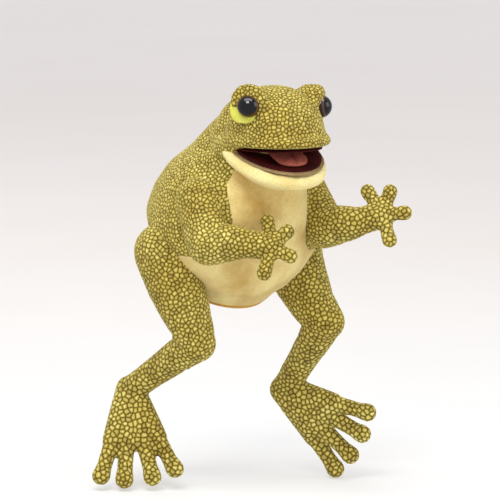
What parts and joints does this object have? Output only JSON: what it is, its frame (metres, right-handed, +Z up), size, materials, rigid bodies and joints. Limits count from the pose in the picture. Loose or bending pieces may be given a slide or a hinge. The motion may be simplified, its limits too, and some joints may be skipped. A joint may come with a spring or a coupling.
{
  "type": "hand puppet",
  "caption": "Plush frog hand puppet with a hinged mouth worked by the hand inside, a sleeve for the forearm, and stuffed arms and legs with webbed hands and feet.",
  "frame": {"origin": "middle of the outer edge of the round hand opening under the body", "axes": "+Z up, the frog faces -Y and its own left side is +X"},
  "size_m": [0.253, 0.2038, 0.389],
  "materials": {
    "scale_plush": "printed short plush, olive pads with dark lines",
    "cream_plush": "cream yellow plush",
    "hem_cloth": "golden woven cloth",
    "lining_cloth": "plain olive lining",
    "mouth_cloth": "dark maroon short plush",
    "tongue_cloth": "dusty red plush",
    "stuffing": "white polyester fibre filling",
    "stiff_board": "stiff board",
    "eye_plastic": "glossy brown with a black pupil",
    "washer_plastic": "plain white",
    "eye_patch_cloth": "lime yellow short plush"
  },
  "bodies": {
    "body": {"back_panel": "scale_plush", "belly_panel": "cream_plush", "body_stuffing": "stuffing", "hand_lining": "lining_cloth", "opening_hem": "hem_cloth"},
    "head": {"head_panel": "scale_plush", "head_stuffing": "stuffing", "upper_mouth_plate": "stiff_board", "palate_lining": "mouth_cloth", "finger_pocket": "lining_cloth", "eye_left": "eye_plastic", "eye_right": "eye_plastic", "eye_washer_left": "washer_plastic", "eye_washer_right": "washer_plastic", "eye_patch_left": "eye_patch_cloth", "eye_patch_right": "eye_patch_cloth", "brow_left": "scale_plush", "brow_right": "scale_plush"},
    "jaw": {"chin_panel": "cream_plush", "jaw_stuffing": "stuffing", "lower_mouth_plate": "stiff_board", "mouth_floor_lining": "mouth_cloth", "tongue": "tongue_cloth", "thumb_pocket": "lining_cloth"},
    "upper_arm_right": {"upper_arm_right": "scale_plush", "upper_arm_stuffing_right": "stuffing"},
    "forearm_right": {"forearm_right": "scale_plush", "forearm_stuffing_right": "stuffing"},
    "hand_right": {"hand_right": "scale_plush", "hand_stuffing_right": "stuffing"},
    "thigh_right": {"thigh_right": "scale_plush", "thigh_stuffing_right": "stuffing"},
    "shank_right": {"shank_right": "scale_plush", "shank_stuffing_right": "stuffing"},
    "foot_right": {"foot_right": "scale_plush", "foot_stuffing_right": "stuffing"},
    "upper_arm_left": {"upper_arm_left": "scale_plush", "upper_arm_stuffing_left": "stuffing"},
    "forearm_left": {"forearm_left": "scale_plush", "forearm_stuffing_left": "stuffing"},
    "hand_left": {"hand_left": "scale_plush", "hand_stuffing_left": "stuffing"},
    "thigh_left": {"thigh_left": "scale_plush", "thigh_stuffing_left": "stuffing"},
    "shank_left": {"shank_left": "scale_plush", "shank_stuffing_left": "stuffing"},
    "foot_left": {"foot_left": "scale_plush", "foot_stuffing_left": "stuffing"}
  },
  "joints": [
    {"name": "neck_nod", "type": "hinge", "parent": "body", "child": "head", "pos_m": [0, -0.058, 0.13], "axis": [-1, 0, 0], "range_deg": [-10, 22]},
    {"name": "mouth", "type": "hinge", "parent": "head", "child": "jaw", "pos_m": [0, -0.081, 0.142], "axis": [1, 0, 0], "range_deg": [-12, 12]},
    {"name": "shoulder_right", "type": "hinge", "parent": "body", "child": "upper_arm_right", "pos_m": [-0.06, -0.053, 0.091], "axis": [-1, 0, 0], "range_deg": [-8, 20]},
    {"name": "elbow_right", "type": "hinge", "parent": "upper_arm_right", "child": "forearm_right", "pos_m": [-0.064, -0.077, 0.052], "axis": [-0.652, -0.6141, 0.4448], "range_deg": [-60, 8]},
    {"name": "wrist_right", "type": "hinge", "parent": "forearm_right", "child": "hand_right", "pos_m": [-0.0427, -0.0986, 0.0534], "axis": [0.4997, 0.3086, 0.8094], "range_deg": [-30, 30]},
    {"name": "shoulder_left", "type": "hinge", "parent": "body", "child": "upper_arm_left", "pos_m": [0.06, -0.053, 0.091], "axis": [-1, 0, 0], "range_deg": [-12, 55]},
    {"name": "elbow_left", "type": "hinge", "parent": "upper_arm_left", "child": "forearm_left", "pos_m": [0.062, -0.082, 0.06], "axis": [-0.9038, -0.3401, 0.2599], "range_deg": [-60, 25]},
    {"name": "wrist_left", "type": "hinge", "parent": "forearm_left", "child": "hand_left", "pos_m": [0.0756, -0.1134, 0.0662], "axis": [0.1025, 0.4862, 0.8678], "range_deg": [-30, 30]},
    {"name": "hip_right", "type": "hinge", "parent": "body", "child": "thigh_right", "pos_m": [-0.072, -0.012, 0.037], "axis": [-1, 0, 0], "range_deg": [-30, 35]},
    {"name": "knee_right", "type": "hinge", "parent": "thigh_right", "child": "shank_right", "pos_m": [-0.059, -0.049, -0.046], "axis": [0.9426, 0.334, -0.0013], "range_deg": [-70, 15]},
    {"name": "ankle_right", "type": "hinge", "parent": "shank_right", "child": "foot_right", "pos_m": [-0.086, 0.027, -0.097], "axis": [-0.9505, -0.158, 0.2677], "range_deg": [-50, 15]},
    {"name": "hip_left", "type": "hinge", "parent": "body", "child": "thigh_left", "pos_m": [0.072, -0.012, 0.037], "axis": [-1, 0, 0], "range_deg": [-30, 35]},
    {"name": "knee_left", "type": "hinge", "parent": "thigh_left", "child": "shank_left", "pos_m": [0.071, -0.073, -0.032], "axis": [0.9973, 0.0473, -0.0562], "range_deg": [-70, 15]},
    {"name": "ankle_left", "type": "hinge", "parent": "shank_left", "child": "foot_left", "pos_m": [0.064, -0.011, -0.104], "axis": [-0.883, -0.3947, -0.2541], "range_deg": [-50, 4]}
  ]
}
